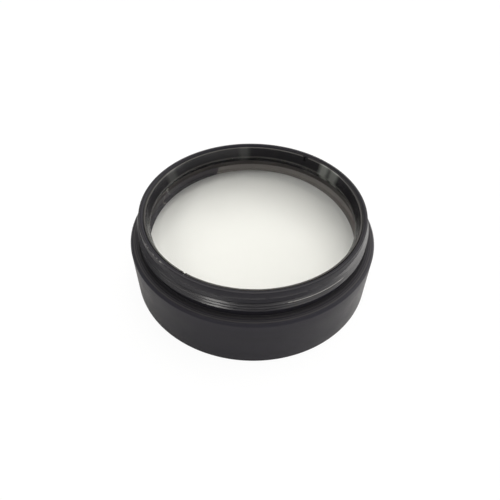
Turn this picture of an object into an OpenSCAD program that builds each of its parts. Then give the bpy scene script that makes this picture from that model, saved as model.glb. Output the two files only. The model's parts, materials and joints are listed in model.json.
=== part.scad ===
// Screw-in lens cell for a two inch telescope eyepiece or nosepiece.
// A black ring body carries a cemented doublet, which a split slip ring and a threaded retaining ring hold.
// The optical axis is Z. The body stands on its lower face at z = 0, and the screw nose points up.

/* [Body] */
// Outside diameter of the plain body
body_d = 51.8; // [51:0.1:54]
// Height of the shoulder above the lower face
shoulder_h = 11.9; // [11.6:0.1:12.6]
// Height of the screw nose above the shoulder
nose_h = 5.9; // [5.7:0.1:6.5]
// Chamfer on the two outer edges of the body
edge_chamfer = 0.4; // [0.1:0.1:0.7]

/* [Screw threads] */
// Major diameter of the thread on the nose and of the thread in the lower mouth
thread_d = 48; // [47.8:0.1:48.2]
// Pitch of both threads
thread_pitch = 0.75; // [0.7:0.01:0.8]
// Ridges on the nose
nose_ridges = 4; // [3:1:4]
// Grooves in the lower mouth
mouth_grooves = 3; // [2:1:3]
// Length of the lower mouth
mouth_h = 3.3; // [2.9:0.1:3.5]
// Diameter of the plain pilot at the tip of the nose
pilot_d = 46.8; // [46.4:0.1:47]
// Length of the undercut between the shoulder and the thread
undercut_h = 1.3; // [1:0.1:1.5]
// Depth of the relief that the undercut leaves in the shoulder
relief_h = 0.2; // [0.1:0.05:0.4]

/* [Lenses] */
// Diameter of both lenses
lens_d = 44.6; // [44.4:0.1:44.7]
// Radius of the upper face of the crown lens
crown_top_r = 59; // [58:1:80]
// Radius of the cemented faces
cement_r = 60; // [56:1:80]
// Radius of the lower face of the flint lens
flint_low_r = 300; // [280:10:400]
// Height of the cemented faces at the edge of the lenses
cement_edge_z = 10.6; // [10.4:0.1:11]
// Height of the seat that carries the lenses
seat_z = 4; // [4:0.1:4.2]
// Clear diameter of the seat
aperture_d = 43.4; // [42:0.1:43.6]

/* [Slip ring] */
// Inside diameter of the slip ring at its foot
slip_in_d = 44; // [43.8:0.1:44.1]
// Inside diameter of the slip ring at its rim
slip_rim_d = 44.2; // [44.2:0.1:44.3]
// Height at which the slip ring bears on the crown lens
slip_z = 12.85; // [12.8:0.05:12.95]
// Height of the slip ring
slip_h = 0.95; // [0.9:0.05:1]
// Height of the straight rim at the top of the slip ring
slip_rim_h = 0.5; // [0.4:0.05:0.6]
// Width of the split at its narrow part
split_w = 0.2; // [0.15:0.05:0.4]
// Width of the split at the top of the ring
split_flare_w = 0.8; // [0.5:0.1:1.2]
// Direction of the split about the axis
split_angle = 153; // [0:1:359]

/* [Retaining ring] */
// Inside diameter of the retaining ring at its top
ring_top_d = 44.1; // [43.9:0.1:44.2]
// Clear diameter of the retaining ring at its lip
ring_lip_d = 42.7; // [42.6:0.1:43]
// Height of the lower edge of the lip
lip_z = 15.1; // [15:0.05:15.2]
// Diameter of the bore that the retaining ring and the slip ring fit
ring_bore_d = 45; // [44.9:0.1:45.2]
// Depth of the retaining ring's top below the tip of the nose
ring_sink = 0.3; // [0.2:0.1:0.6]
// Width of the two spanner slots
slot_w = 0.6; // [0.4:0.1:1]
// Depth of the two spanner slots
slot_depth = 1; // [0.6:0.1:1.4]
// Direction of the first spanner slot about the axis
slot_angle = 57; // [0:1:179]

/* [Hidden] */
$fn = 96;

anodised_black = [0.12, 0.12, 0.125];
ring_black = [0.09, 0.09, 0.095];
slip_grey = [0.2, 0.19, 0.185];
crown_tint = [0.86, 0.9, 0.9, 0.35];
flint_tint = [0.88, 0.9, 0.84, 0.35];

// Play of a running fit on the radius, and the gap left where two loose pieces bear on each other
fit_play = 0.05;
bear_gap = 0.02;
// Small breaks on the edges of the nose and of the rings, and the lead-in of the lower mouth
edge_break = 0.12;
mouth_lead = 0.3;
// Step of the shoulder's seat outside the thread crests, and depth of the lens bore's top under the slip ring
seat_step = 0.1;
bore_step = 0.3;
// Length by which a cut runs past what it cuts
eps = 0.5;

body_r = body_d / 2;
tip_z = shoulder_h + nose_h;
thread_r = thread_d / 2;
thread_z = shoulder_h + undercut_h;
// Proportions of a sixty degree thread: depth outside and inside, and the flat on a crest
ridge_depth = 0.6134 * thread_pitch;
groove_depth = 0.54 * thread_pitch;
crest_flat = thread_pitch / 8;
ridge_root_r = thread_r - ridge_depth;
mouth_r = thread_r - groove_depth;
pilot_r = pilot_d / 2;
// The flat seat of the shoulder starts clear of the thread crests
seat_in_r = thread_r + seat_step;
ring_bore_r = ring_bore_d / 2;
lens_r = lens_d / 2;
lens_bore_r = lens_r + fit_play;
lens_bore_top = slip_z - bore_step;
aperture_r = aperture_d / 2;

slip_in_r = slip_in_d / 2;
slip_rim_r = slip_rim_d / 2;
slip_out_r = ring_bore_r - fit_play;
slip_top_z = slip_z + slip_h;
slip_rim_z = slip_top_z - slip_rim_h;

ring_top_r = ring_top_d / 2;
ring_lip_r = ring_lip_d / 2;
ring_out_r = ring_bore_r - fit_play;
ring_z = slip_top_z + bear_gap;
ring_top_z = tip_z - ring_sink;
// Straight land of the lip, thickness of the skirt under it, and slope height of the lip's underside
lip_h = 0.25;
skirt_w = 0.3;
lip_under_h = 0.6;
skirt_in_r = ring_out_r - skirt_w;

// Sag of a spherical face of radius r at a height y from the axis
function sag(r, y) = r - sqrt(r * r - y * y);

// Apex heights of the three spherical faces
crown_apex_z = slip_z + sag(crown_top_r, slip_in_r) - bear_gap;
cement_apex_z = cement_edge_z - sag(cement_r, lens_r);
flint_apex_z = seat_z - sag(flint_low_r, aperture_r);

// Outline of one thread tooth centred on height z, from radius root to radius crest, bottom to top
function tooth(z, root, crest) = let (run = abs(crest - root) * tan(30), half = crest_flat / 2) [
    [root, z - half - run], [crest, z - half], [crest, z + half], [root, z + half + run]
];

// Level ridges on the nose and level grooves in the mouth stand for the helical threads
nose_teeth = [
    for (i = [0:nose_ridges - 1]) each tooth(thread_z + (i + 0.5) * thread_pitch, ridge_root_r, thread_r)
];
mouth_teeth = [
    for (i = [0:mouth_grooves - 1]) each tooth((i + 1) * thread_pitch, mouth_r, thread_r)
];
nose_thread_top = thread_z + nose_ridges * thread_pitch;

// Points of an outline in the opposite order
function turned(points) = [for (i = [len(points) - 1:-1:0]) points[i]];

module cell_body() {
    outside = concat(
        [[body_r - edge_chamfer, 0], [body_r, edge_chamfer], [body_r, shoulder_h - edge_chamfer],
         [body_r - edge_chamfer, shoulder_h], [seat_in_r, shoulder_h],
         [seat_in_r, shoulder_h - relief_h], [pilot_r, shoulder_h - relief_h], [pilot_r, thread_z]],
        nose_teeth,
        [[pilot_r, nose_thread_top], [pilot_r, tip_z - edge_break], [pilot_r - edge_break, tip_z]]
    );
    inside = concat(
        [[ring_bore_r + edge_break, tip_z], [ring_bore_r, tip_z - edge_break], [ring_bore_r, lens_bore_top],
         [lens_bore_r, lens_bore_top], [lens_bore_r, seat_z], [aperture_r, seat_z], [aperture_r, mouth_h],
         [mouth_r, mouth_h]],
        turned(mouth_teeth),
        [[mouth_r, mouth_lead], [mouth_r + mouth_lead, 0]]
    );
    color(anodised_black)
        rotate_extrude()
            polygon(concat(outside, inside));
}

// Ball that a lens face is cut from, centred on the axis at height z and fine enough for a shallow face
module face_ball(z, r) {
    translate([0, 0, z])
        sphere(r = r, $fn = 360);
}

module cement_ball() {
    face_ball(cement_apex_z + cement_r, cement_r);
}

module flint_lens() {
    color(flint_tint)
        difference() {
            intersection() {
                cylinder(h = cement_edge_z, r = lens_r);
                face_ball(flint_apex_z + flint_low_r, flint_low_r);
            }
            cement_ball();
        }
}

module crown_lens() {
    color(crown_tint)
        intersection() {
            cylinder(h = tip_z, r = lens_r);
            cement_ball();
            face_ball(crown_apex_z - crown_top_r, crown_top_r);
        }
}

module split_slip_ring() {
    section = [
        [slip_in_r, slip_z], [slip_out_r, slip_z], [slip_out_r, slip_top_z], [slip_rim_r, slip_top_z],
        [slip_rim_r, slip_rim_z]
    ];
    // The split is narrow below and flares from half way up, past the top of the ring
    flare_z = slip_z + slip_h / 2;
    flare_slope = (split_flare_w - split_w) / slip_h;
    cut_z = slip_top_z + eps;
    cut_half_w = split_w / 2 + flare_slope * (cut_z - flare_z);
    split = [
        [-split_w / 2, slip_z - eps], [split_w / 2, slip_z - eps], [split_w / 2, flare_z],
        [cut_half_w, cut_z], [-cut_half_w, cut_z], [-split_w / 2, flare_z]
    ];
    color(slip_grey)
        difference() {
            rotate_extrude()
                polygon(section);
            rotate([0, 0, split_angle])
                translate([slip_in_r - eps, 0, 0])
                    rotate([90, 0, 90])
                        linear_extrude(height = slip_out_r - slip_in_r + 2 * eps)
                            polygon(split);
        }
}

module retaining_ring() {
    section = [
        [skirt_in_r, ring_z], [ring_out_r, ring_z], [ring_out_r, ring_top_z - edge_break],
        [ring_out_r - edge_break, ring_top_z], [ring_top_r, ring_top_z], [ring_lip_r, lip_z + lip_h],
        [ring_lip_r, lip_z], [skirt_in_r, lip_z - lip_under_h]
    ];
    color(ring_black)
        difference() {
            rotate_extrude()
                polygon(section);
            for (turn = [0, 180])
                rotate([0, 0, slot_angle + turn])
                    translate([ring_lip_r - eps, -slot_w / 2, ring_top_z - slot_depth])
                        cube([ring_out_r - ring_lip_r + 2 * eps, slot_w, slot_depth + eps]);
        }
}

cell_body();
flint_lens();
crown_lens();
split_slip_ring();
retaining_ring();
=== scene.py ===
"""Screw-in lens cell of a telescope eyepiece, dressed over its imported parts.

The metal pieces are turned from outlines about the optical axis, their threads are true screws, and the
doublet refracts as a cemented pair does. All sizes are in metres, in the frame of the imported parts.
"""
import json
import math

import bmesh
import bpy
from bpy.props import FloatProperty, FloatVectorProperty, PointerProperty
from mathutils import Matrix, Vector


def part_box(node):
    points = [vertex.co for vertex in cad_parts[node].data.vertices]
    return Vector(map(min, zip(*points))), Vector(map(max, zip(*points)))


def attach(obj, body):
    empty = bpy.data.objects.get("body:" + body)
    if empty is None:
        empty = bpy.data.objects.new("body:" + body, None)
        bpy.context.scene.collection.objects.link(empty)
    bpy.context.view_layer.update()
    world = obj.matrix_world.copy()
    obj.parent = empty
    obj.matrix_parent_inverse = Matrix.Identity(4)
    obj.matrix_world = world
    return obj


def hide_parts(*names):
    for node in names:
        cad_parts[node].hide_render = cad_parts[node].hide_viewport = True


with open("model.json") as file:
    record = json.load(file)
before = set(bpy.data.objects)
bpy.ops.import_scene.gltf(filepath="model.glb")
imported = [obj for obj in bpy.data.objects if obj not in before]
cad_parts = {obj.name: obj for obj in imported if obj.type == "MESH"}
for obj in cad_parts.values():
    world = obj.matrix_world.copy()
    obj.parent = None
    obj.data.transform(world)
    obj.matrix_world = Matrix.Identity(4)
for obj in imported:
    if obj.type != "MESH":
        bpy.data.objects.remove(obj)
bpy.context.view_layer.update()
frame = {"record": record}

bl_info = {
    "name": "Telescope Lens Cell",
    "version": (1, 0, 0),
    "blender": (4, 5, 0),
    "location": "View3D > Sidebar > Lens Cell",
    "description": "Turns the rings and lenses of a screw-in telescope lens cell around its packed parts",
    "category": "Object",
}

MM = 0.001
WHITE = (1.0, 1.0, 1.0, 1.0)

# Columns of a full turn, and the distance within which vertices are one
STEPS = 288
WELD = 0.004 * MM
# Stretches of an outline that are longer than this many roundings are parted
LONG_RUN = 4.0
# Edges that bend by more than this, in degrees, are shaded sharp
SHARP_ANGLE = 32.0
# Stretches of a lens face from the axis to its edge, and how upright the normal of a polished face stands
LENS_PARTS = 40
POLISHED = 0.6
# Length of the cutter that makes a spanner slot
CUTTER_LENGTH = 3.0 * MM

# Half of a thread's angle, and its depth outside and inside as shares of the pitch
HALF_ANGLE = math.radians(30.0)
OUTER_DEPTH = 0.6134
INNER_DEPTH = 0.54
# Slopes at which a thread rises from its base at its lower and upper ends
NOSE_LEADS = (2.5, 1.2)
BORE_LEADS = (2.0, 2.0)
RING_LEADS = (1.6, 1.6)
# Threads are trimmed to their ends within this height
SLIVER = 0.03 * MM
# The first crest, which carries a painted highlight, is this deep under the crest radius, and runs down this
# many pitches from the upper end
CREST_DEPTH = 0.1 * MM
CREST_PITCHES = 1.6

# Directions about the axis are in degrees, with 0 to the right and -90 in front
# Sides of the rim, which is worn, and of the first crest, which is painted as exposed metal: partly wear,
# partly a painted highlight of the light that edge catches
WORN_RIM = 219.0
PAINTED_CREST_HIGHLIGHT = -60.0
# Reflections of the room painted as pale patches on the retaining ring's cone: first and last direction, and
# how strongly each shows
PAINTED_REFLECTIONS = (
    (31.0, 37.5, 0.5),
    (39.5, 45.5, 0.62),
    (93.4, 99.4, 0.11),
    (145.0, 152.0, 0.12),
)
# First and last direction of the darker band on the lenses' edge, and of the gap in it at the split that
# keeps the frosted grey as a painted highlight
DARK_BAND = (112.5, 255.0)
SPLIT_HIGHLIGHT = (152.6, 153.4)
# Share of the metal that a worn edge and the painted highlight on the first crest show, and how metallic the
# exposed metal is
WORN_SHOWS = 0.4
BARE_METALLIC = 0.6
# Weight and roughness of the shiny coat on outer threads
THREAD_COAT = 0.9
THREAD_COAT_ROUGHNESS = 0.21
# Turning marks follow the radius plus this share of the height, so that they cross every turned face
MARKS_UPWARDS = 0.73
# Depth of the relief on turned metal and on ground glass
TURNED_RELIEF = 0.02 * MM
GROUND_RELIEF = 0.03 * MM

# Pale parts of the room around the cell: heading, height, half of the width, half of the height and softness
# of the border, all in degrees, and then how strongly each shines
ROOM = {
    "front wall": (-39, 3, 44, 9, 1.5, 1.6),
    "right wall": (22, 20, 30, 19, 8, 3.0),
    "back wall": (82, 8, 32, 11, 7, 1.5),
    "left wall": (180, 3, 17, 9, 3, 0.9),
    "back ceiling": (88, 55, 36, 11, 7, 2.7),
    "right ceiling": (-8, 45, 24, 10, 8, 1.0),
    "front ceiling": (-34, 61, 20, 8, 8, 1.5),
    "left ceiling": (-150, 40, 36, 14, 8, 0.5),
    "left lamp": (-134, 59, 11, 6, 1.5, 10.5),
    "top": (50, 80, 45, 11, 8, 1.4),
}
ROOM_DIM = 0.22
ROOM_TINT = (1.0, 0.985, 0.95)
# Share of the room's light that the coated glass still mirrors
COATING = 0.05
# Soft boxes: heading and height in degrees, and power in watts
LAMPS = {
    "key_lamp": (55.0, 73.0, 2.0),
    "fill_lamp": (-95.0, 45.0, 0.66),
}
# Side of a soft box and its distance from the cell
LAMP_WIDTH = 0.4
LAMP_DISTANCE = 0.6
# Half of the paper's width, and its gap under the cell, so that their faces don't coincide
PAPER_HALF = 2.5
PAPER_GAP = 0.02 * MM
# Fibres of the paper in a metre, and share of plain white that it shows to each kind of ray
PAPER_FIBRES = 900.0
PAPER_WHITE = {"Is Camera Ray": 0.94, "Is Glossy Ray": 0.03, "Is Transmission Ray": 0.02}
# The photograph's camera, fitted to the cell's outlines: pitch, yaw and roll in degrees, its place, and its
# lens and sensor in millimetres
CAMERA_TURN = (45.38, -0.26, 1.36)
CAMERA_PLACE = (0.0, -0.07329, 0.07903)
CAMERA_LENS = 33.14
CAMERA_SENSOR = 36.0

MOUNTS = {mount["name"]: mount for mount in frame["record"]["mounts"]}
_, BODY_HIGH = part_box("cell_body")
SLIP_LOW, SLIP_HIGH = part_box("split_slip_ring")
RING_LOW, RING_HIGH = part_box("retaining_ring")
CROWN_LOW, CROWN_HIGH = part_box("crown_lens")
FLINT_LOW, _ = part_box("flint_lens")


def length(label, description, millimetres):
    """A size property that a user can change, with its default given in millimetres."""
    return FloatProperty(name=label, description=description, default=millimetres * MM, unit="LENGTH",
                         precision=5)


def direction(label, description, degrees):
    """A direction about the axis that a user can change, with its default given in degrees."""
    return FloatProperty(name=label, description=description, default=math.radians(degrees), subtype="ANGLE")


def colour(label, description, value):
    """A colour property with a linear default."""
    return FloatVectorProperty(name=label, description=description, default=value, subtype="COLOR",
                               min=0.0, max=1.0)


def share(label, description, value):
    """A property from 0 to 1."""
    return FloatProperty(name=label, description=description, default=value, min=0.0, max=1.0,
                         subtype="FACTOR")


class LensCellMetal(bpy.types.PropertyGroup):
    """Sizes of the turned metal pieces."""

    pitch: length("Pitch", "Rise of every thread in one turn", 0.75)
    chamfer: length("Chamfer", "Chamfer on the outer edges of the body", 0.4)
    edge_round: length("Edge Rounding", "Rounding of the small edges of the turned metal", 0.09)
    pilot_r: length("Pilot Radius", "Radius of the plain pilot and of the undercut on the nose", 23.4)
    tip_break: length("Tip Break", "Small break on the inner edge of the nose's tip", 0.04)
    undercut: length("Undercut", "Length between the shoulder and the nose thread", 1.3)
    relief: length("Relief", "Depth of the relief at the root of the shoulder", 0.2)
    seat_step: length("Seat Step", "Step of the shoulder's flat face outside the thread crests", 0.1)
    nose_thread: length("Nose Thread", "Length of the thread on the nose", 3.0)
    seat_z: length("Seat Height", "Height of the seat that carries the lenses", 4.0)
    aperture_r: length("Aperture Radius", "Clear radius of the lens seat", 21.7)
    mouth: length("Mouth Length", "Length of the female mouth under the seat", 3.3)
    mouth_lead: length("Mouth Lead", "Chamfer that leads into the mouth", 0.3)
    mouth_end: length("Mouth Thread End", "Plain length between the mouth's thread and its floor", 0.2)
    ring_bore_r: length("Ring Bore Radius", "Radius of the bore that the rings fit", 22.5)
    bore_groove: length("Bore Groove", "Depth of the thread in the ring bore", 0.26)
    bore_flat: length("Bore Flat", "Flat at the bottom of the thread in the ring bore", 0.15)
    bore_run: length("Bore Run", "Length by which the bore's thread runs past the slip ring's top", 0.1)
    lens_bore_r: length("Lens Bore Radius", "Radius of the bore that the lenses fit", 22.35)
    lens_bore_top: length("Lens Bore Top", "Height of the step between the two bores", 12.55)
    slip_round: length("Slip Ring Rounding", "Rounding of the slip ring's edges", 0.054)
    slip_foot_r: length("Slip Ring Foot", "Inner radius of the slip ring at its foot", 22.0)
    slip_rim_r: length("Slip Ring Rim", "Inner radius of the slip ring at its rim", 22.1)
    slip_rim: length("Slip Ring Rim Height", "Height of the straight rim of the slip ring", 0.5)
    split: length("Split", "Width of the slip ring's split at its narrow part", 0.2)
    split_flare: length("Split Flare", "Width of the slip ring's split at its top", 0.8)
    split_angle: direction("Split Direction", "Direction of the split about the axis", 153.0)
    ring_top_r: length("Ring Top Radius", "Inner radius of the retaining ring at its top", 22.05)
    ring_lip_r: length("Ring Lip Radius", "Clear radius of the retaining ring at its lip", 21.35)
    ring_lip_z: length("Ring Lip Height", "Height of the lower edge of the lip", 15.1)
    ring_lip: length("Ring Lip Land", "Height of the straight land of the lip", 0.25)
    ring_slope: length("Ring Lip Slope", "Height of the sloping underside of the lip", 0.6)
    ring_skirt: length("Ring Skirt", "Thickness of the skirt under the lip", 0.3)
    ring_root: length("Ring Root", "Depth of the ring thread's root under the plain fit", 0.05)
    ring_tooth: length("Ring Tooth", "Height of the ring's thread over its root", 0.27)
    ring_flat: length("Ring Flat", "Flat on the crest of the ring's thread", 0.075)
    ring_foot: length("Ring Foot", "Plain length under the ring's thread", 0.25)
    ring_head: length("Ring Head", "Plain length above the ring's thread", 0.3)
    slot_width: length("Slot Width", "Width of the spanner slots", 0.6)
    slot_depth: length("Slot Depth", "Depth of the spanner slots", 1.0)
    slot_angle: direction("Slot Direction", "Direction of the first spanner slot", 57.0)


class LensCellGlass(bpy.types.PropertyGroup):
    """Sizes and refraction of the doublet."""

    crown_curve: length("Crown Curve", "Radius of the upper face of the crown lens", 59.0)
    cement_curve: length("Cement Curve", "Radius of the cemented faces", 60.0)
    flint_curve: length("Flint Curve", "Radius of the lower face of the flint lens", 300.0)
    edge_bevel: length("Edge Bevel", "Small bevel on the ground edges of the lenses", 0.15)
    ground_rim: length("Ground Rim", "Width of the ground rim that the lower face shows in the seat", 0.25)
    film: length("Cement Film", "Gap between the cemented faces", 0.01)
    crown_index: FloatProperty(name="Crown Index", description="Refraction of the crown lens", default=1.517)
    flint_index: FloatProperty(name="Flint Index", description="Refraction of the flint lens", default=1.673)


class LensCellFinish(bpy.types.PropertyGroup):
    """Colours and roughness of the finishes."""

    body_black: colour("Body Black", "Satin anodised black of the body", (0.0168, 0.0160, 0.0206))
    ring_black: colour("Ring Black", "Semi-gloss black of the retaining ring", (0.010, 0.0095, 0.011))
    slip_grey: colour("Slip Ring Grey", "Dark brownish grey of the slip ring", (0.034, 0.030, 0.029))
    # Exposed metal, also used to paint the highlight on the first crest and at the slip ring's split
    bare_metal: colour("Bare Metal", "Aluminium that shows where an edge is worn", (0.62, 0.61, 0.58))
    # Painted light: this grey lightens the turning rings on up-facing faces, lifting the shade there, and
    # paints highlights on the retaining ring's edges
    painted_light_grey: colour("Thin Coat", "Grey of the coat where it is worn thin", (0.085, 0.082, 0.078))
    # Painted reflection: pale grey of the patches that stand for the room mirrored in the retaining ring
    painted_reflection: colour("Scuff", "Pale grey of scuffed patches on the retaining ring", (0.24, 0.25, 0.235))
    clear_glass: colour("Clear Glass", "Faint tint of the polished glass", (0.99, 0.995, 0.985))
    ground_glass: colour("Ground Glass", "Frosted edge of the lenses", (0.198, 0.182, 0.176))
    edge_band: colour("Edge Ink", "Black ink on a part of the lenses' ground edge", (0.05, 0.047, 0.056))
    paper: colour("Paper", "White sheet that the cell stands on", (0.93, 0.925, 0.92))
    body_rough: share("Body Roughness", "Roughness of the body's satin finish", 0.36)
    ring_rough: share("Ring Roughness", "Roughness of the retaining ring", 0.20)
    slip_rough: share("Slip Ring Roughness", "Roughness of the slip ring", 0.34)


# Turned shapes

def new_shape():
    """An empty bmesh with layers that mark the vertices of edges, threads, first crests, which carry a
    painted highlight, and exposed metal, whose mark at the slip ring's split also paints a highlight.
    """
    bm = bmesh.new()
    for mark in ("edge", "thread", "crest", "bare"):
        bm.verts.layers.float.new(mark)
    return bm


def outline(bm, points, closed=False):
    """Lay (radius, height) points on the XZ plane, join them and return the vertices."""
    verts = [bm.verts.new((r, 0.0, z)) for r, z in points]
    ends = verts[1:] + verts[:1] if closed else verts[1:]
    for pair in zip(verts, ends):
        bm.edges.new(pair)
    return verts


def round_corners(bm, verts, size, segments=3, wears=True):
    """Round corners of an outline before it is turned, and mark them as edges where they wear; the retaining
    ring also paints highlights on these marks.

    Long runs between corners are parted, so that the mark stays near the corners."""
    made = bmesh.ops.bevel(bm, geom=verts, offset=size, offset_type="OFFSET", segments=segments, profile=0.5,
                           affect="VERTICES", material=-1)
    edge = bm.verts.layers.float["edge"]
    for vert in made["verts"]:
        vert[edge] = float(wears)
    runs = [e for e in bm.edges if e.calc_length() > LONG_RUN * size]
    parted = bmesh.ops.bisect_edges(bm, edges=runs, cuts=2)["geom_split"]
    for vert in parted:
        if isinstance(vert, bmesh.types.BMVert) and vert not in made["verts"]:
            vert[edge] = 0.0


def spin(bm, angle=math.tau, rise=0.0):
    """Spin all that the bmesh holds about the optical axis: once round, through an angle, or up a screw."""
    return bmesh.ops.spin(bm, geom=bm.verts[:] + bm.edges[:], cent=(0, 0, 0), axis=(0, 0, 1),
                          dvec=(0, 0, rise / STEPS), angle=angle, steps=STEPS,
                          use_merge=angle == math.tau and rise == 0.0)


def absorb(shape, part):
    """Move the faces of one bmesh into another."""
    mesh = bpy.data.meshes.new("turned_part")
    part.to_mesh(mesh)
    part.free()
    shape.from_mesh(mesh)
    bpy.data.meshes.remove(mesh)


def turn(shape, points, rounded=(), size=0.0, wears=True):
    """Turn an outline once round the axis and add it to the shape, with the numbered corners rounded."""
    part = new_shape()
    verts = outline(part, points)
    if rounded:
        round_corners(part, [verts[i] for i in rounded], size, wears=wears)
    spin(part)
    absorb(shape, part)


def tooth(root, crest, pitch, flat, parts=1):
    """One pitch of a thread as (radius, height) points, with its crest half way up.

    Each flank has a number of parts, so that a lead can trim it."""
    run = abs(crest - root) * math.tan(HALF_ANGLE)
    middle = pitch / 2
    low, high = middle - flat / 2, middle + flat / 2
    steps = [i / parts for i in range(parts + 1)]
    rising = [(root + (crest - root) * s, low - run + run * s) for s in steps]
    falling = [(crest + (root - crest) * s, high + run * s) for s in steps]
    return [(root, 0.0)] + rising + falling + [(root, pitch)]


def screw(shape, teeth, pitch, low, high, base, leads, flare=0.0, wears=False):
    """Screw an outline up the axis, trim it to a level band that starts and ends on radius base, and add it.

    leads are the slopes at which the thread rises from base at its lower and upper ends. A flare opens the
    upper end of a bore instead, by a chamfer of that size. A thread that wears is marked as a shiny one, and
    its first crest too, where the metal paints a highlight on one side."""
    part = new_shape()
    first = pitch * (math.floor(low / pitch) - 1)
    turns = math.ceil((high - first) / pitch)
    verts = outline(part, [(r, first + z) for r, z in teeth])
    thread, first_crest = part.verts.layers.float["thread"], part.verts.layers.float["crest"]
    crest = max(r for r, z in teeth)
    for vert in verts:
        vert[thread] = float(wears)
    spin(part, rise=pitch)
    one_turn = part.verts[:] + part.edges[:] + part.faces[:]
    for i in range(1, turns):
        copy = bmesh.ops.duplicate(part, geom=one_turn)["geom"]
        bmesh.ops.translate(part, verts=[item for item in copy if isinstance(item, bmesh.types.BMVert)],
                            vec=(0, 0, i * pitch))
    for vert in part.verts:
        z = low if vert.co.z < low + SLIVER else high if vert.co.z > high - SLIVER else vert.co.z
        r = vert.co.xy.length
        trimmed = min(r, base + (z - low) * leads[0])
        if flare:
            trimmed = max(trimmed, base + flare - (high - z))
        else:
            trimmed = min(trimmed, base + (high - z) * leads[1])
        across = vert.co.xy * (trimmed / r)
        vert.co = (across.x, across.y, z)
        # Mark the first crest, which the metal paints with a highlight on one side
        if wears and trimmed > crest - CREST_DEPTH and z > high - CREST_PITCHES * pitch:
            vert[first_crest] = 1.0
    absorb(shape, part)


def close(bm):
    """Weld the seams of a turned shape and point its faces outwards."""
    bmesh.ops.remove_doubles(bm, verts=bm.verts, dist=WELD)
    bmesh.ops.recalc_face_normals(bm, faces=bm.faces)
    open_edges = [e for e in bm.edges if not e.is_manifold]
    if open_edges:
        place = open_edges[0].verts[0].co
        raise RuntimeError(f"a turned shape has {len(open_edges)} open edges, near {place}")


def piece(bm, name, body, node, materials):
    """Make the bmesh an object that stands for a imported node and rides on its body."""
    mesh = bpy.data.meshes.new(name)
    bm.to_mesh(mesh)
    bm.free()
    mesh.shade_smooth()
    mesh.set_sharp_from_angle(angle=math.radians(SHARP_ANGLE))
    for material in materials:
        mesh.materials.append(material)
    obj = bpy.data.objects.new(name, mesh)
    bpy.context.scene.collection.objects.link(obj)
    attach(obj, body)
    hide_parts(node)
    return obj


# Node groups and materials

class Nodes:
    """Short calls that add nodes to a tree and link them."""

    def __init__(self, tree):
        self.tree = tree

    def add(self, kind, settings=None, **inputs):
        """Add a node, set its properties, and fill its inputs with values or with other nodes' outputs.

        An input is named with _ for each space, or numbered after a leading _."""
        node = self.tree.nodes.new(kind)
        for key, value in (settings or {}).items():
            setattr(node, key, value)
        for key, value in inputs.items():
            socket = node.inputs[int(key[1:])] if key[0] == "_" else node.inputs[key.replace("_", " ")]
            if isinstance(value, bpy.types.NodeSocket):
                self.tree.links.new(value, socket)
            else:
                socket.default_value = value
        return node

    def join(self, output, socket):
        """Link an output to an input."""
        self.tree.links.new(output, socket)

    def math(self, operation, a, b=0.0, clamp=False):
        """The result of a Math node."""
        return self.add("ShaderNodeMath", {"operation": operation, "use_clamp": clamp}, _0=a, _1=b).outputs[0]

    def scaled_sum(self, a, a_scale, b, b_scale):
        """The sum of two values, each times a number."""
        return self.math("ADD", self.math("MULTIPLY", a, a_scale), self.math("MULTIPLY", b, b_scale))

    def ramp(self, value, low, high):
        """Map a value smoothly from low..high to 0..1."""
        return self.add("ShaderNodeMapRange", {"interpolation_type": "SMOOTHSTEP"}, Value=value, From_Min=low,
                        From_Max=high).outputs["Result"]

    def blend(self, mask, a, b):
        """Mix two colours by a mask."""
        return self.add("ShaderNodeMix", {"data_type": "RGBA"}, _0=mask, _6=a, _7=b).outputs[2]

    def vector(self, operation, a, b=(0.0, 0.0, 0.0)):
        """The outputs of a Vector Math node."""
        return self.add("ShaderNodeVectorMath", {"operation": operation}, _0=a, _1=b).outputs

    def noise(self, place, scale, detail, **inputs):
        """Noise in space."""
        return self.add("ShaderNodeTexNoise", Vector=place, Scale=scale, Detail=detail, **inputs).outputs[0]

    def stripes(self, place, per_metre, detail, **inputs):
        """Noise that changes along one measure only, so many times a metre."""
        count = self.math("MULTIPLY", place, per_metre)
        return self.add("ShaderNodeTexNoise", {"noise_dimensions": "1D"}, W=count, Scale=1.0, Detail=detail,
                        **inputs).outputs[0]


def rgba(value):
    """A colour of three numbers as four."""
    return (*value, 1.0)


def node_group(name, inputs, outputs):
    """An empty shader node group with float or vector inputs and float outputs."""
    tree = bpy.data.node_groups.new(name, "ShaderNodeTree")
    for label, default in inputs.items():
        kind = "NodeSocketVector" if isinstance(default, tuple) else "NodeSocketFloat"
        tree.interface.new_socket(label, in_out="INPUT", socket_type=kind).default_value = default
    for label in outputs:
        tree.interface.new_socket(label, in_out="OUTPUT", socket_type="NodeSocketFloat")
    nodes = Nodes(tree)
    return nodes, nodes.add("NodeGroupInput").outputs, nodes.add("NodeGroupOutput").inputs


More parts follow.
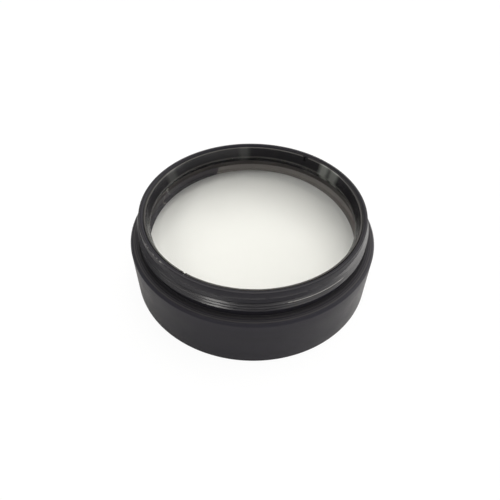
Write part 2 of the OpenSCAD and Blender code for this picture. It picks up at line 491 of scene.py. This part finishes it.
def turning_marks_group():
    """Fine rings left by the lathe on flat, round and conical faces alike, and coarser ones on flat faces."""
    nodes, given, out = node_group(
        "turning_marks", {"Lines per Metre": 9000.0, "Bands per Metre": 400.0, "Rings per Metre": 3200.0},
        ["Height", "Tone", "Facing"])
    place = nodes.add("ShaderNodeTexCoord").outputs
    x, y, z = nodes.add("ShaderNodeSeparateXYZ", _0=place["Object"]).outputs
    upright = nodes.add("ShaderNodeSeparateXYZ", _0=place["Normal"]).outputs[2]
    across = nodes.math("SQRT", nodes.scaled_sum(x, x, y, y))
    along = nodes.math("ADD", across, nodes.math("MULTIPLY", z, MARKS_UPWARDS))
    lines = nodes.stripes(along, given["Lines per Metre"], 2.0, Roughness=0.6)
    bands = nodes.stripes(along, given["Bands per Metre"], 1.0)
    rings = nodes.stripes(across, given["Rings per Metre"], 1.0)
    flat = nodes.ramp(upright, 0.75, 0.95)
    nodes.join(lines, out["Height"])
    nodes.join(nodes.math("MULTIPLY", lines, bands), out["Tone"])
    nodes.join(nodes.math("MULTIPLY", nodes.ramp(rings, 0.38, 0.62), flat), out["Facing"])
    return nodes.tree


def speckle_group():
    """Fine mottle of an anodised skin, and a cloudier one."""
    nodes, given, out = node_group(
        "anodised_speckle", {"Grains per Metre": 5200.0, "Clouds per Metre": 312.0}, ["Fine", "Cloud"])
    place = nodes.add("ShaderNodeTexCoord").outputs["Object"]
    nodes.join(nodes.noise(place, given["Grains per Metre"], 3.0, Roughness=0.65), out["Fine"])
    nodes.join(nodes.noise(place, given["Clouds per Metre"], 2.0), out["Cloud"])
    return nodes.tree


def arc_group():
    """A part of the way round the axis, between two directions in degrees, with ragged or soft ends."""
    nodes, given, out = node_group(
        "arc", {"Start": 0.0, "End": 90.0, "Ragged": 0.0, "Soft": 0.2, "Rags per Metre": 900.0}, ["Mask"])
    place = nodes.add("ShaderNodeTexCoord").outputs["Object"]
    x, y, _ = nodes.add("ShaderNodeSeparateXYZ", _0=place).outputs
    degrees = nodes.math("MULTIPLY", nodes.math("ARCTAN2", y, x), 180.0 / math.pi)
    noise = nodes.noise(place, given["Rags per Metre"], 2.0)
    brushed = nodes.math("MULTIPLY", nodes.math("SUBTRACT", noise, 0.5), given["Ragged"])
    heading = nodes.math("FLOORED_MODULO", nodes.math("ADD", degrees, brushed), 360.0)
    past_start = nodes.math("SUBTRACT", heading, given["Start"])
    before_end = nodes.math("SUBTRACT", given["End"], heading)
    inside = [nodes.math("ADD", nodes.math("DIVIDE", reach, given["Soft"]), 0.5, clamp=True)
              for reach in (past_start, before_end)]
    nodes.join(nodes.math("MULTIPLY", *inside), out["Mask"])
    return nodes.tree


def edge_wear_group():
    """Broken dashes of worn metal along edges, strongest on one side of the piece; on the first crest they
    also paint a highlight.
    """
    nodes, given, out = node_group(
        "edge_wear", {"Everywhere": 0.15, "On One Side": 0.0, "Side": (1.0, 0.0, 0.0), "Narrowness": 0.9,
                      "Edge": 0.0, "Dashes per Metre": 1300.0}, ["Mask"])
    place = nodes.add("ShaderNodeTexCoord").outputs["Object"]
    level = nodes.vector("MULTIPLY", place, (1.0, 1.0, 0.0))["Vector"]
    heading = nodes.vector("NORMALIZE", level)["Vector"]
    facing = nodes.vector("DOT_PRODUCT", heading, given["Side"])["Value"]
    near = nodes.ramp(facing, given["Narrowness"], 1.0)
    dashes = nodes.noise(place, given["Dashes per Metre"], 3.0, Roughness=0.6)
    amount = nodes.math("ADD", given["Everywhere"], nodes.math("MULTIPLY", given["On One Side"], near))
    broken = nodes.ramp(nodes.math("ADD", dashes, nodes.math("SUBTRACT", amount, 0.5)), 0.46, 0.62)
    nodes.join(nodes.math("MULTIPLY", given["Edge"], broken, clamp=True), out["Mask"])
    return nodes.tree


def shared_groups():
    """The node groups, made once."""
    made = bpy.data.node_groups
    if "turning_marks" not in made:
        turning_marks_group()
        speckle_group()
        arc_group()
        edge_wear_group()
    return {"marks": made["turning_marks"], "speckle": made["anodised_speckle"], "arc": made["arc"],
            "wear": made["edge_wear"]}


def new_material(name):
    """A material with only its output node, and the calls that fill it."""
    material = bpy.data.materials.new(name)
    material.use_nodes = True
    material.node_tree.nodes.clear()
    nodes = Nodes(material.node_tree)
    return material, nodes, nodes.add("ShaderNodeOutputMaterial").inputs["Surface"]


def group_node(nodes, tree, **inputs):
    """Place a node group in a material with its own values."""
    return nodes.add("ShaderNodeGroup", {"node_tree": tree}, **inputs).outputs


def layer(nodes, name):
    """Value of a vertex layer over the surface."""
    return nodes.add("ShaderNodeAttribute", {"attribute_name": name}).outputs["Fac"]


def marked(nodes, name, low=0.85, high=0.97):
    """Mask of the surface right beside the vertices that a layer marks."""
    return nodes.ramp(layer(nodes, name), low, high)


def towards(degrees):
    """Unit vector in a direction about the axis."""
    return (math.cos(math.radians(degrees)), math.sin(math.radians(degrees)), 0.0)


def anodised(name, dark, roughness, marks, wear, painted_reflections=(), specular=0.5, painted_edge_highlight=0.0, grooved=0.0):
    """Dark anodised metal with turning marks, a fine mottle, worn edges and shiny threads, and with painted
    highlights, painted reflections and a painted lift of shade in its colour.

    The edge highlight argument paints the edges a lighter grey as a painted highlight, and grooved draws
    reflections out across the turning marks."""
    material, nodes, surface = new_material(name)
    groups = shared_groups()
    finish = bpy.context.scene.lens_cell_finish
    rings = group_node(nodes, groups["marks"], Lines_per_Metre=marks["lines"])
    skin = group_node(nodes, groups["speckle"])
    edge = marked(nodes, "edge")
    worn_edge = group_node(nodes, groups["wear"], Edge=edge, **wear)["Mask"]
    # The first crest is painted as exposed metal on one side: partly wear, partly a painted highlight of the
    # light that edge catches
    crest_highlight = group_node(nodes, groups["wear"], Edge=marked(nodes, "crest", 0.5), Everywhere=0.0,
                            On_One_Side=0.70, Side=towards(PAINTED_CREST_HIGHLIGHT), Narrowness=0.90)["Mask"]
    # worn holds the worn edges and the painted highlight on the first crest
    worn = nodes.math("MULTIPLY", nodes.math("MAXIMUM", worn_edge, crest_highlight), WORN_SHOWS)
    bare = nodes.math("MAXIMUM", worn, marked(nodes, "bare", 0.6))
    light = tuple(min(1.0, c * marks["contrast"]) for c in dark)
    tone = nodes.scaled_sum(rings["Tone"], 0.9, skin["Fine"], 0.45)
    base = nodes.blend(nodes.ramp(tone, 0.25, 0.85), rgba(dark), rgba(light))
    # Painted light: the real face-turning rings on up-facing faces are painted lighter, which lifts the shade
    # that falls there, and edges are painted lighter as painted highlights
    for mask, amount in ((rings["Facing"], marks["facing"]), (edge, painted_edge_highlight)):
        base = nodes.blend(nodes.math("MULTIPLY", mask, amount), base, rgba(finish.painted_light_grey))
    # Pale patches painted where the ring mirrors bright parts of the room: painted reflections
    for start, end, amount in painted_reflections:
        mask = group_node(nodes, groups["arc"], Start=start, End=end, Ragged=1.0, Soft=3.0)["Mask"]
        base = nodes.blend(nodes.math("MULTIPLY", mask, amount), base, rgba(finish.painted_reflection))
    base = nodes.blend(bare, base, rgba(finish.bare_metal))
    uneven = nodes.scaled_sum(nodes.math("SUBTRACT", skin["Cloud"], 0.5), 0.16, rings["Tone"], 0.08)
    height = nodes.scaled_sum(rings["Height"], marks["depth"], skin["Fine"], marks["grain"])
    bump = nodes.add("ShaderNodeBump", Height=height, Distance=TURNED_RELIEF, Strength=0.6)
    shader = nodes.add("ShaderNodeBsdfPrincipled", Base_Color=base, Normal=bump.outputs[0],
                       Roughness=nodes.math("ADD", roughness, uneven),
                       Metallic=nodes.math("MULTIPLY", bare, BARE_METALLIC),
                       Specular_IOR_Level=specular,
                       Coat_Weight=nodes.math("MULTIPLY", layer(nodes, "thread"), THREAD_COAT),
                       Coat_Roughness=THREAD_COAT_ROUGHNESS)
    if grooved:
        round_axis = nodes.add("ShaderNodeTangent", {"direction_type": "RADIAL", "axis": "Z"}).outputs[0]
        nodes.join(round_axis, shader.inputs["Tangent"])
        shader.inputs["Anisotropic"].default_value = grooved
        shader.inputs["Anisotropic Rotation"].default_value = 0.25
    nodes.join(shader.outputs[0], surface)
    return material


def glass(name, index, tint):
    """Polished glass that lets lamp light through to the paper below."""
    material, nodes, surface = new_material(name)
    shader = nodes.add("ShaderNodeBsdfPrincipled", Base_Color=tint, Roughness=0.0, IOR=index,
                       Transmission_Weight=1.0)
    path = nodes.add("ShaderNodeLightPath").outputs
    straight = nodes.math("MAXIMUM", path["Is Shadow Ray"], path["Is Diffuse Ray"])
    clear = nodes.add("ShaderNodeBsdfTransparent", Color=tint)
    mixed = nodes.add("ShaderNodeMixShader", _0=straight, _1=shader.outputs[0], _2=clear.outputs[0])
    nodes.join(mixed.outputs[0], surface)
    return material


def ground_glass(name, tint, band):
    """Frosted edge of a lens with the rings of the grinding wheel, darker on a part of its way round, with a
    gap at the split left frosted as a painted highlight.
    """
    material, nodes, surface = new_material(name)
    groups = shared_groups()
    rings = group_node(nodes, groups["marks"], Lines_per_Metre=6000.0)
    skin = group_node(nodes, groups["speckle"])
    banded = group_node(nodes, groups["arc"], Start=DARK_BAND[0], End=DARK_BAND[1], Ragged=5.0)["Mask"]
    # The gap at the split keeps the frosted grey: a painted highlight, the stem of the split's bright Y
    split_highlight = group_node(nodes, groups["arc"], Start=SPLIT_HIGHLIGHT[0], End=SPLIT_HIGHLIGHT[1])["Mask"]
    dark = tuple(0.8 * c for c in tint)
    frosting = nodes.ramp(nodes.math("ADD", rings["Tone"], skin["Fine"]), 0.4, 1.1)
    frost = nodes.blend(frosting, rgba(dark), rgba(tint))
    base = nodes.blend(nodes.math("SUBTRACT", banded, split_highlight, clamp=True), frost, rgba(band))
    rough = nodes.math("ADD", 0.55, nodes.math("MULTIPLY", skin["Fine"], 0.3))
    bump = nodes.add("ShaderNodeBump", Height=skin["Fine"], Distance=GROUND_RELIEF, Strength=0.5)
    shader = nodes.add("ShaderNodeBsdfPrincipled", Base_Color=base, Roughness=rough, Normal=bump.outputs[0])
    nodes.join(shader.outputs[0], surface)
    return material


def paper_material(tint):
    """White paper that shows as the plain background, and keeps a trace of the cell's shadow."""
    material, nodes, surface = new_material("white_paper")
    place = nodes.add("ShaderNodeTexCoord").outputs["Object"]
    fibre = nodes.noise(place, PAPER_FIBRES, 3.0)
    base = nodes.blend(fibre, rgba(tuple(0.985 * c for c in tint)), rgba(tint))
    sheet = nodes.add("ShaderNodeBsdfDiffuse", Color=base)
    white = nodes.add("ShaderNodeEmission", Color=WHITE, Strength=1.0)
    path = nodes.add("ShaderNodeLightPath").outputs
    share_white = 0.0
    for ray, amount in PAPER_WHITE.items():
        share_white = nodes.math("ADD", share_white, nodes.math("MULTIPLY", path[ray], amount), clamp=True)
    mixed = nodes.add("ShaderNodeMixShader", _0=share_white, _1=sheet.outputs[0], _2=white.outputs[0])
    nodes.join(mixed.outputs[0], surface)
    return material


# Pieces

class LENSCELL_OT_body(bpy.types.Operator):
    """Turn the ring body with its shoulder, screw nose, lens seat and lower mouth"""

    bl_idname = "lens_cell.body"
    bl_label = "Ring Body"

    def execute(self, context):
        size = context.scene.lens_cell_metal
        finish = context.scene.lens_cell_finish
        body_r, tip_z = BODY_HIGH.x, BODY_HIGH.z
        shoulder_z = MOUNTS["shoulder"]["pos_m"][2]
        relief_z = shoulder_z - size.relief
        nose_r = MOUNTS["nose_thread"]["dims"]["r_mm"] * MM
        seat_in_r = nose_r + size.seat_step
        nose_low = shoulder_z + size.undercut
        nose_high = nose_low + size.nose_thread
        mouth_r = MOUNTS["mouth_thread"]["dims"]["r_mm"] * MM
        mouth_low, mouth_high = size.mouth_lead, size.mouth - size.mouth_end
        groove_r = size.ring_bore_r + size.bore_groove
        bore_low, bore_high = SLIP_HIGH.z - size.bore_run, tip_z - size.tip_break
        bm = new_shape()
        turn(bm, [(size.pilot_r, nose_high), (size.pilot_r, tip_z), (groove_r + size.tip_break, tip_z),
                  (groove_r, bore_high)], (1,), size.edge_round)
        turn(bm, [(size.ring_bore_r, bore_low), (size.ring_bore_r, size.lens_bore_top),
                  (size.lens_bore_r, size.lens_bore_top), (size.lens_bore_r, size.seat_z),
                  (size.aperture_r, size.seat_z), (size.aperture_r, size.mouth), (mouth_r, size.mouth),
                  (mouth_r, mouth_high)], (4, 5), size.edge_round, wears=False)
        turn(bm, [(mouth_r, mouth_low), (mouth_r + size.mouth_lead, 0.0), (body_r - size.chamfer, 0.0),
                  (body_r, size.chamfer), (body_r, shoulder_z - size.chamfer),
                  (body_r - size.chamfer, shoulder_z), (seat_in_r, shoulder_z), (seat_in_r, relief_z),
                  (size.pilot_r, relief_z), (size.pilot_r, nose_low)],
             range(1, 7), size.edge_round, wears=False)
        flat = size.pitch / 8
        nose_tooth = tooth(nose_r - OUTER_DEPTH * size.pitch, nose_r, size.pitch, flat, parts=4)
        mouth_tooth = tooth(mouth_r, mouth_r + INNER_DEPTH * size.pitch, size.pitch, flat)
        bore_tooth = tooth(size.ring_bore_r, groove_r, size.pitch, size.bore_flat)
        screw(bm, nose_tooth, size.pitch, nose_low, nose_high, size.pilot_r, NOSE_LEADS, wears=True)
        screw(bm, mouth_tooth, size.pitch, mouth_low, mouth_high, mouth_r, BORE_LEADS)
        screw(bm, bore_tooth, size.pitch, bore_low, bore_high, size.ring_bore_r, BORE_LEADS,
              flare=size.bore_groove)
        close(bm)
        # The body's facing amount paints its up-facing turning rings lighter, a painted lift of their shade
        satin = anodised("satin_black_anodised", finish.body_black, finish.body_rough,
                         {"lines": 9000.0, "contrast": 1.5, "depth": 0.8, "grain": 0.9, "facing": 0.4},
                         {"Everywhere": 0.05, "On_One_Side": 0.46, "Side": towards(WORN_RIM),
                          "Narrowness": 0.955}, specular=0.09)
        piece(bm, "ring_body", "cell", "cell_body", [satin])
        return {"FINISHED"}


class LENSCELL_OT_slip_ring(bpy.types.Operator):
    """Turn the slip ring, open at its flared split"""

    bl_idname = "lens_cell.slip_ring"
    bl_label = "Split Slip Ring"

    def execute(self, context):
        size = context.scene.lens_cell_metal
        finish = context.scene.lens_cell_finish
        low, high, out_r = SLIP_LOW.z, SLIP_HIGH.z, SLIP_HIGH.x
        bm = new_shape()
        section = outline(bm, [
            (size.slip_foot_r, low), (out_r, low), (out_r, high), (size.slip_rim_r, high),
            (size.slip_rim_r, high - size.slip_rim)], closed=True)
        round_corners(bm, section[:4], size.slip_round, segments=2)
        gap = size.split / out_r
        bmesh.ops.rotate(bm, verts=bm.verts, cent=(0, 0, 0),
                         matrix=Matrix.Rotation(size.split_angle + gap / 2, 3, "Z"))
        first = set(bm.verts)
        made = spin(bm, angle=math.tau - gap)
        last = {item for item in made["geom_last"] if isinstance(item, bmesh.types.BMVert)}
        middle = (low + high) / 2
        slope = (size.split_flare - size.split) / (high - low)
        # The cut ends are exposed metal, and their pale colour also paints the split's bright highlight
        bare = bm.verts.layers.float["bare"]
        for end, way in ((first, 1.0), (last, -1.0)):
            for vert in end:
                vert[bare] = 1.0
                flare = way * slope * max(0.0, vert.co.z - middle) / out_r
                vert.co.rotate(Matrix.Rotation(flare, 3, "Z"))
        bmesh.ops.holes_fill(bm, edges=[e for e in bm.edges if e.is_boundary])
        close(bm)
        satin = anodised("satin_grey_slip_ring", finish.slip_grey, finish.slip_rough,
                         {"lines": 7000.0, "contrast": 1.6, "depth": 0.6, "grain": 0.6, "facing": 0.0},
                         {"Everywhere": 0.12})
        piece(bm, "slip_ring", "slip", "split_slip_ring", [satin])
        return {"FINISHED"}


class LENSCELL_OT_retaining_ring(bpy.types.Operator):
    """Turn the threaded retaining ring and cut its two spanner slots"""

    bl_idname = "lens_cell.retaining_ring"
    bl_label = "Retaining Ring"

    def execute(self, context):
        size = context.scene.lens_cell_metal
        finish = context.scene.lens_cell_finish
        low, high = RING_LOW.z, RING_HIGH.z
        root_r = RING_HIGH.x - size.ring_root
        skirt_r = RING_HIGH.x - size.ring_skirt
        lip_low, lip_high = size.ring_lip_z, size.ring_lip_z + size.ring_lip
        thread_low, thread_high = low + size.ring_foot, high - size.ring_head
        bm = new_shape()
        turn(bm, [(root_r, thread_high), (root_r, high), (size.ring_top_r, high), (size.ring_lip_r, lip_high),
                  (size.ring_lip_r, lip_low), (skirt_r, lip_low - size.ring_slope), (skirt_r, low),
                  (root_r, low), (root_r, thread_low)], range(1, 5), size.edge_round)
        ring_tooth = tooth(root_r, root_r + size.ring_tooth, size.pitch, size.ring_flat)
        screw(bm, ring_tooth, size.pitch, thread_low, thread_high, root_r, RING_LEADS, wears=True)
        close(bm)
        # The ring's pale patches are painted reflections, and its lighter edges are painted highlights
        gloss = anodised("semi_gloss_black_ring", finish.ring_black, finish.ring_rough,
                         {"lines": 6000.0, "contrast": 1.6, "depth": 0.12, "grain": 0.12, "facing": 0.0},
                         {"Everywhere": 0.05}, PAINTED_REFLECTIONS, specular=0.3, painted_edge_highlight=0.5, grooved=0.75)
        ring = piece(bm, "retaining_ring_turned", "ring", "retaining_ring", [gloss])
        self.cut_slots(context, ring, size)
        return {"FINISHED"}

    def cut_slots(self, context, ring, size):
        """Cut two opposite slots through the top of the ring."""
        bm = bmesh.new()
        for half_turn in (0.0, math.pi):
            made = bmesh.ops.create_cube(bm, size=1.0)["verts"]
            bmesh.ops.scale(bm, verts=made, vec=(CUTTER_LENGTH, size.slot_width, 2 * size.slot_depth))
            bmesh.ops.translate(bm, verts=made, vec=(size.ring_top_r, 0.0, RING_HIGH.z))
            bmesh.ops.rotate(bm, verts=made, cent=(0, 0, 0),
                             matrix=Matrix.Rotation(size.slot_angle + half_turn, 3, "Z"))
        mesh = bpy.data.meshes.new("slot_cutter")
        bm.to_mesh(mesh)
        bm.free()
        cutter = bpy.data.objects.new("slot_cutter", mesh)
        context.scene.collection.objects.link(cutter)
        cut = ring.modifiers.new("slots", "BOOLEAN")
        cut.operation = "DIFFERENCE"
        cut.solver = "EXACT"
        cut.object = cutter
        context.view_layer.update()
        done = bpy.data.meshes.new_from_object(ring.evaluated_get(context.evaluated_depsgraph_get()))
        ring.modifiers.clear()
        ring.data = done
        bpy.data.objects.remove(cutter)


class LENSCELL_OT_lenses(bpy.types.Operator):
    """Turn the crown and the flint lens of the cemented doublet"""

    bl_idname = "lens_cell.lenses"
    bl_label = "Doublet"

    def face(self, curve, apex, sign, radius):
        """Points of a spherical face from the axis to its edge; sign is the way that it bends."""
        reach = [radius * i / LENS_PARTS for i in range(LENS_PARTS + 1)]
        return [(r, apex + sign * (curve - math.sqrt(curve * curve - r * r))) for r in reach]

    def lens(self, upper, lower, bevel, ground_r):
        """Turn a lens from its two faces, with materials 0 above, 1 on ground glass and 2 below.

        The lower face is ground outside the radius ground_r."""
        bm = new_shape()
        turn(bm, upper + lower[::-1], (len(upper) - 1, len(upper)), bevel)
        close(bm)
        for part in bm.faces:
            up = part.normal.z
            if up > POLISHED:
                part.material_index = 0
            elif up < -POLISHED and part.calc_center_median().xy.length < ground_r:
                part.material_index = 2
            else:
                part.material_index = 1
        return bm

    def execute(self, context):
        size = context.scene.lens_cell_glass
        finish = context.scene.lens_cell_finish
        lens_r = CROWN_HIGH.x
        cement_apex = CROWN_LOW.z
        seat_r = context.scene.lens_cell_metal.aperture_r
        crown = self.lens(self.face(size.crown_curve, CROWN_HIGH.z, -1.0, lens_r),
                          self.face(size.cement_curve, cement_apex, 1.0, lens_r),
                          size.edge_bevel, lens_r)
        flint = self.lens(self.face(size.cement_curve, cement_apex - size.film, 1.0, lens_r),
                          self.face(size.flint_curve, FLINT_LOW.z, 1.0, lens_r),
                          size.edge_bevel, seat_r - size.ground_rim)
        clear = rgba(finish.clear_glass)
        # The ground edge is darker on a part of its way round, with a gap at the split left frosted as a
        # painted highlight
        edge = ground_glass("ground_lens_edge", finish.ground_glass, finish.edge_band)
        piece(crown, "crown_lens_polished", "cell", "crown_lens", [
            glass("crown_glass", size.crown_index, clear), edge, glass("crown_cement_face", 1.0, WHITE)])
        piece(flint, "flint_lens_polished", "cell", "flint_lens", [
            glass("flint_cement_face", size.flint_index / size.crown_index, WHITE), edge,
            glass("flint_glass", size.flint_index, clear)])
        return {"FINISHED"}


class LENSCELL_OT_stage(bpy.types.Operator):
    """Set the white paper, the soft lights and the camera"""

    bl_idname = "lens_cell.stage"
    bl_label = "Stage"

    def room(self):
        """The room around the cell: a dim level with pale parts, which the coated glass hardly mirrors."""
        world = bpy.data.worlds.new("soft_room")
        world.use_nodes = True
        world.node_tree.nodes.clear()
        nodes = Nodes(world.node_tree)
        way = nodes.add("ShaderNodeTexCoord").outputs["Generated"]
        x, y, z = nodes.add("ShaderNodeSeparateXYZ", _0=way).outputs
        heading = nodes.math("DEGREES", nodes.math("ARCTAN2", y, x))
        height = nodes.math("DEGREES", nodes.math("ARCSINE", z))
        room = ROOM_DIM
        for turned, rise, half_width, half_height, soft, strength in ROOM.values():
            away = nodes.math("PINGPONG", nodes.math("SUBTRACT", heading, turned), 180.0)
            above = nodes.math("ABSOLUTE", nodes.math("SUBTRACT", height, rise))
            part = nodes.math("MULTIPLY", nodes.ramp(away, half_width + soft, half_width - soft),
                              nodes.ramp(above, half_height + soft, half_height - soft))
            room = nodes.math("ADD", room, nodes.math("MULTIPLY", part, strength))
        path = nodes.add("ShaderNodeLightPath").outputs
        dimmed = nodes.math("MULTIPLY", path["Is Singular Ray"], 1.0 - COATING)
        strength = nodes.math("MULTIPLY", nodes.math("SUBTRACT", 1.0, dimmed), room)
        light = nodes.add("ShaderNodeBackground", Color=rgba(ROOM_TINT), Strength=strength)
        white = nodes.add("ShaderNodeBackground", Color=WHITE, Strength=1.0)
        mixed = nodes.add("ShaderNodeMixShader", _0=path["Is Camera Ray"], _1=light.outputs[0],
                          _2=white.outputs[0])
        nodes.join(mixed.outputs[0], nodes.add("ShaderNodeOutputWorld").inputs["Surface"])
        return world

    def lamp(self, context, name, heading, height, power):
        """A soft box that points at the cell and isn't seen in shiny surfaces."""
        light = bpy.data.lights.new(name, "AREA")
        light.size = LAMP_WIDTH
        light.color = ROOM_TINT
        light.energy = power
        obj = bpy.data.objects.new(name, light)
        way = Vector(towards(heading)) * math.cos(math.radians(height))
        way.z = math.sin(math.radians(height))
        obj.location = way * LAMP_DISTANCE
        obj.rotation_mode = "QUATERNION"
        obj.rotation_quaternion = way.to_track_quat("Z", "Y")
        obj.visible_glossy = False
        obj.visible_transmission = False
        context.scene.collection.objects.link(obj)

    def camera(self, context):
        """The camera that took the photograph."""
        pitch, yaw, roll = (math.radians(angle) for angle in CAMERA_TURN)
        turned = (Matrix.Rotation(math.pi / 2 - pitch, 4, "X") @ Matrix.Rotation(-yaw, 4, "Y")
                  @ Matrix.Rotation(roll, 4, "Z"))
        data = bpy.data.cameras.new("photo_camera")
        data.sensor_width = CAMERA_SENSOR
        data.lens = CAMERA_LENS
        data.clip_start = 0.005
        data.clip_end = 20.0
        obj = bpy.data.objects.new("photo_camera", data)
        obj.matrix_world = Matrix.Translation(CAMERA_PLACE) @ turned
        context.scene.collection.objects.link(obj)
        context.scene.camera = obj

    def paper(self, context):
        """The sheet that the cell stands on."""
        bm = bmesh.new()
        bmesh.ops.create_grid(bm, x_segments=1, y_segments=1, size=PAPER_HALF,
                              matrix=Matrix.Translation((0.0, 0.0, -PAPER_GAP)))
        mesh = bpy.data.meshes.new("paper")
        bm.to_mesh(mesh)
        bm.free()
        mesh.materials.append(paper_material(context.scene.lens_cell_finish.paper))
        paper = bpy.data.objects.new("paper", mesh)
        context.scene.collection.objects.link(paper)

    def execute(self, context):
        self.paper(context)
        context.scene.world = self.room()
        for name, setting in LAMPS.items():
            self.lamp(context, name, *setting)
        context.scene.view_settings.view_transform = "Standard"
        self.camera(context)
        return {"FINISHED"}


class LENSCELL_PT_panel(bpy.types.Panel):
    """Lists the pieces of the lens cell and the sizes and finishes that they follow"""

    bl_idname = "LENSCELL_PT_panel"
    bl_label = "Lens Cell"
    bl_space_type = "VIEW_3D"
    bl_region_type = "UI"
    bl_category = "Lens Cell"

    def draw(self, context):
        column = self.layout.column()
        for operator in PIECES:
            column.operator(operator.bl_idname)
        for name, group in GROUPS:
            box = self.layout.box()
            for label in group.__annotations__:
                box.prop(getattr(context.scene, name), label)


GROUPS = (
    ("lens_cell_metal", LensCellMetal),
    ("lens_cell_glass", LensCellGlass),
    ("lens_cell_finish", LensCellFinish),
)
PIECES = (LENSCELL_OT_stage, LENSCELL_OT_body, LENSCELL_OT_lenses, LENSCELL_OT_slip_ring,
          LENSCELL_OT_retaining_ring)


def register():
    """Add the sizes and finishes to the scene, and register the operators and the panel."""
    for name, group in GROUPS:
        bpy.utils.register_class(group)
        setattr(bpy.types.Scene, name, PointerProperty(type=group))
    for cls in PIECES:
        bpy.utils.register_class(cls)
    bpy.utils.register_class(LENSCELL_PT_panel)


def unregister():
    """Undo what register does, in the opposite order."""
    bpy.utils.unregister_class(LENSCELL_PT_panel)
    for cls in reversed(PIECES):
        bpy.utils.unregister_class(cls)
    for name, group in reversed(GROUPS):
        delattr(bpy.types.Scene, name)
        bpy.utils.unregister_class(group)


def main():
    """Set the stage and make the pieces."""
    register()
    bpy.ops.lens_cell.stage()
    bpy.ops.lens_cell.body()
    bpy.ops.lens_cell.lenses()
    bpy.ops.lens_cell.slip_ring()
    bpy.ops.lens_cell.retaining_ring()


if __name__ == "__main__":
    main()
